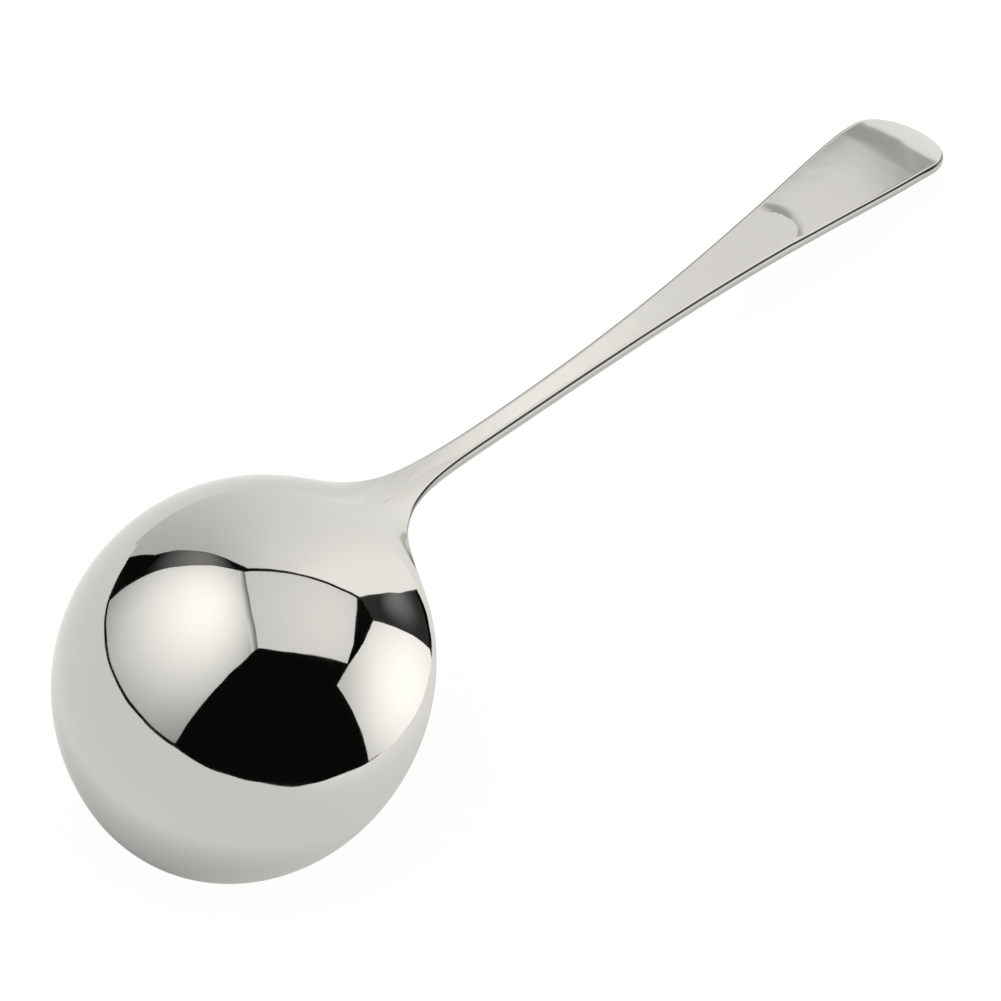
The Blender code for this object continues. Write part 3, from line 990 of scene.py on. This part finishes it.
def handle_cards():
    """White cards beside and behind the handle's end; the one beside it dims to its foot and far side."""
    end = glow_by_ray("end_card", CARD_RAYS, ((ALONG_SPOON, END_CARD_START),))
    foot = ramp_along(end, **END_CARD_FOOT)
    wedge = ramp_along(end, **END_CARD_WEDGE)
    light(end, joined(end, "MINIMUM", foot, wedge))
    stage_sheet("end_card", [END_CARD], end, mirrored=True)
    sides = [(ACROSS_SPOON, span) for span in TIP_CARD_SIDES]
    tip = glow_by_ray("tip_card", CARD_RAYS, sides, TIP_CARD_LIGHT)
    stage_sheet("tip_card", [TIP_CARD], tip, mirrored=True)


def far_dome_corner(turn, rise):
    """Point of the far dome in mm, from two turns in degrees."""
    level = math.cos(math.radians(rise))
    out = (
        level * math.cos(math.radians(turn)),
        level * math.sin(math.radians(turn)),
        math.sin(math.radians(rise)),
    )
    return Vector(FAR_DOME_CENTRE) + FAR_DOME_RADIUS * Vector(out)


def far_dome():
    """Grey dome on the camera's side, far enough for only the handle to show it."""
    wide = FAR_DOME_TURNS[2]
    high = FAR_DOME_RISES[2]
    faces = []
    for turn in range(*FAR_DOME_TURNS):
        for rise in range(*FAR_DOME_RISES):
            around = ((turn, rise), (turn + wide, rise), (turn + wide, rise + high), (turn, rise + high))
            faces.append([far_dome_corner(*corner) for corner in around])
    grey = glow_by_ray("far_dome", FAR_DOME_RAYS)
    light(grey, ramp_along(grey, **FAR_DOME_SHADING))
    stage_sheet("far_dome", faces, grey, mirrored=True)


def light_tent(stage):
    """Table, panels and back sweep that the steel shows."""
    table = [(x, y, TABLE_HEIGHT) for x, y in TABLE_PLAN]
    stage_sheet("table", [table], table_paper(stage.table_light), mirrored=True)
    lip = glow("table_edge", stage.table_light)
    for i, (low, high) in enumerate(zip(LIP_LINE, LIP_LINE[1:])):
        corners = (low, high, (high[0], high[1], LIP_FOOT), (low[0], low[1], LIP_FOOT))
        stage_sheet("table_lip_" + str(i), [corners], lip, mirrored=True)
    stage_sheet("left_panel", [LEFT_PANEL], cloth("left_cloth", stage.left_light, **LEFT_FADE))
    stage_sheet("left_seam", [LEFT_SEAM], seam_cloth())
    stage_sheet("left_gap", [LEFT_GAP], cloth("left_gap_cloth", LEFT_GAP_LIGHT, **LEFT_GAP_FADE))
    stage_sheet("right_gap", [RIGHT_GAP], cloth("right_gap_cloth", RIGHT_GAP_LIGHT, **RIGHT_GAP_FADE))
    stage_sheet("top_panel", [TOP_PANEL], cloth("top_cloth", stage.top_light, **TOP_FADE))
    stage_sheet("right_panel", [RIGHT_PANEL], cloth("right_cloth", stage.right_light, **RIGHT_FADE))
    stage_sheet("back_sweep", [BACK_SWEEP], sweep_paper(stage.sweep_light))


def floor_paint(stage):
    """Pale floor that reads as white and keeps a faint shadow."""
    material, nodes, link = new_material("pale_floor")
    nodes.remove(nodes["Principled BSDF"])
    base = add(nodes, "ShaderNodeBsdfDiffuse", Color=stage.floor_white)
    white = add(nodes, "ShaderNodeEmission", Color=WHITE, Strength=FLOOR_GLOW)
    path = add(nodes, "ShaderNodeLightPath")
    share = add(nodes, "ShaderNodeMath", operation="MULTIPLY")
    share.inputs[1].default_value = 1.0 - stage.shadow_share
    link(path.outputs["Is Camera Ray"], share.inputs[0])
    mix = add(nodes, "ShaderNodeMixShader")
    link(share.outputs["Value"], mix.inputs["Fac"])
    link(base.outputs["BSDF"], mix.inputs[1])
    link(white.outputs["Emission"], mix.inputs[2])
    link(mix.outputs["Shader"], nodes["Material Output"].inputs["Surface"])
    return material


def white_floor(stage):
    """Square floor under the spoon, which the steel doesn't show."""
    half = 0.5 * stage.floor_size / MM
    square = ((-half, -half, 0.0), (half, -half, 0.0), (half, half, 0.0), (-half, half, 0.0))
    stage_sheet("floor", [square], floor_paint(stage), camera=True, glossy=False)


def white_world():
    """White behind the floor, dark in the steel."""
    world = bpy.data.worlds.new("studio")
    bpy.context.scene.world = world
    world.use_nodes = True
    nodes = world.node_tree.nodes
    link = world.node_tree.links.new
    path = add(nodes, "ShaderNodeLightPath")
    mix = add(nodes, "ShaderNodeMix", data_type="RGBA")
    mix.inputs[MIX_FIRST].default_value = STUDIO_DARK
    mix.inputs[MIX_SECOND].default_value = WHITE
    link(path.outputs["Is Camera Ray"], mix.inputs["Factor"])
    link(mix.outputs[MIX_RESULT], nodes["Background"].inputs["Color"])


def place_camera(stage):
    """Camera with the photo's view of the spoon."""
    data = bpy.data.cameras.new("camera")
    data.lens = stage.lens
    data.clip_start = CLIP_START
    camera = bpy.data.objects.new("camera", data)
    bpy.context.scene.collection.objects.link(camera)
    turn = Euler((stage.camera_tilt, 0.0, stage.camera_heading))
    camera.matrix_world = Matrix.LocRotScale(stage.camera_place, turn, None)
    bpy.context.scene.camera = camera


class SpoonOperator:
    """What every step of the model shares."""

    bl_options = {"REGISTER", "UNDO"}


class SPOON_OT_sheet(SpoonOperator, bpy.types.Operator):
    """Press the spoon's sheet, from which the sections are cut"""

    bl_idname = "coffee_spoon.sheet"
    bl_label = "Press Sheet"

    def execute(self, context):
        press_sheet(Shape(context.scene.coffee_spoon.sizes))
        return {"FINISHED"}


class SPOON_OT_bowl(SpoonOperator, bpy.types.Operator):
    """Add the deep round bowl"""

    bl_idname = "coffee_spoon.bowl"
    bl_label = "Bowl"

    def execute(self, context):
        cut_section("bowl", polished_steel(context.scene.coffee_spoon.finish))
        return {"FINISHED"}


class SPOON_OT_neck(SpoonOperator, bpy.types.Operator):
    """Add the hollowed neck between bowl and stem"""

    bl_idname = "coffee_spoon.neck"
    bl_label = "Neck"

    def execute(self, context):
        cut_section("neck", polished_steel(context.scene.coffee_spoon.finish))
        return {"FINISHED"}


class SPOON_OT_stem(SpoonOperator, bpy.types.Operator):
    """Add the slim stem"""

    bl_idname = "coffee_spoon.stem"
    bl_label = "Stem"

    def execute(self, context):
        cut_section("stem", polished_steel(context.scene.coffee_spoon.finish))
        return {"FINISHED"}


class SPOON_OT_handle_end(SpoonOperator, bpy.types.Operator):
    """Add the flared end of the handle with its tongue and turned-down tip"""

    bl_idname = "coffee_spoon.handle_end"
    bl_label = "Handle End"

    def execute(self, context):
        cut_section("handle_end", polished_steel(context.scene.coffee_spoon.finish))
        return {"FINISHED"}


class SPOON_OT_stage(SpoonOperator, bpy.types.Operator):
    """Add the floor, the light tent and the camera"""

    bl_idname = "coffee_spoon.stage"
    bl_label = "Stage"

    def execute(self, context):
        stage = context.scene.coffee_spoon.stage
        white_floor(stage)
        light_tent(stage)
        handle_cards()
        far_dome()
        white_world()
        place_camera(stage)
        context.scene.view_settings.view_transform = "Standard"
        return {"FINISHED"}


class SPOON_PT_panel(bpy.types.Panel):
    """Steps and sizes of the spoon"""

    bl_idname = "SPOON_PT_panel"
    bl_label = "Coffee Spoon"
    bl_space_type = "VIEW_3D"
    bl_region_type = "UI"
    bl_category = "Spoon"

    def draw(self, context):
        layout = self.layout
        for step in STEPS:
            layout.operator(step.bl_idname)
        settings = context.scene.coffee_spoon
        for group in (settings.sizes, settings.finish, settings.stage):
            box = layout.box()
            for name in group.__annotations__:
                box.prop(group, name)


STEPS = (SPOON_OT_sheet, SPOON_OT_bowl, SPOON_OT_neck, SPOON_OT_stem, SPOON_OT_handle_end, SPOON_OT_stage)
CLASSES = (SpoonSizes, SpoonFinish, StageSettings, SpoonSettings) + STEPS + (SPOON_PT_panel,)


def register():
    for item in CLASSES:
        bpy.utils.register_class(item)
    bpy.types.Scene.coffee_spoon = PointerProperty(type=SpoonSettings)


def unregister():
    del bpy.types.Scene.coffee_spoon
    for item in reversed(CLASSES):
        bpy.utils.unregister_class(item)


def main():
    register()
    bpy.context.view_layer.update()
    bpy.ops.coffee_spoon.sheet()
    bpy.ops.coffee_spoon.bowl()
    bpy.ops.coffee_spoon.neck()
    bpy.ops.coffee_spoon.stem()
    bpy.ops.coffee_spoon.handle_end()
    bpy.data.meshes.remove(bpy.data.meshes[SHEET])
    bpy.ops.coffee_spoon.stage()


if __name__ == "__main__":
    main()
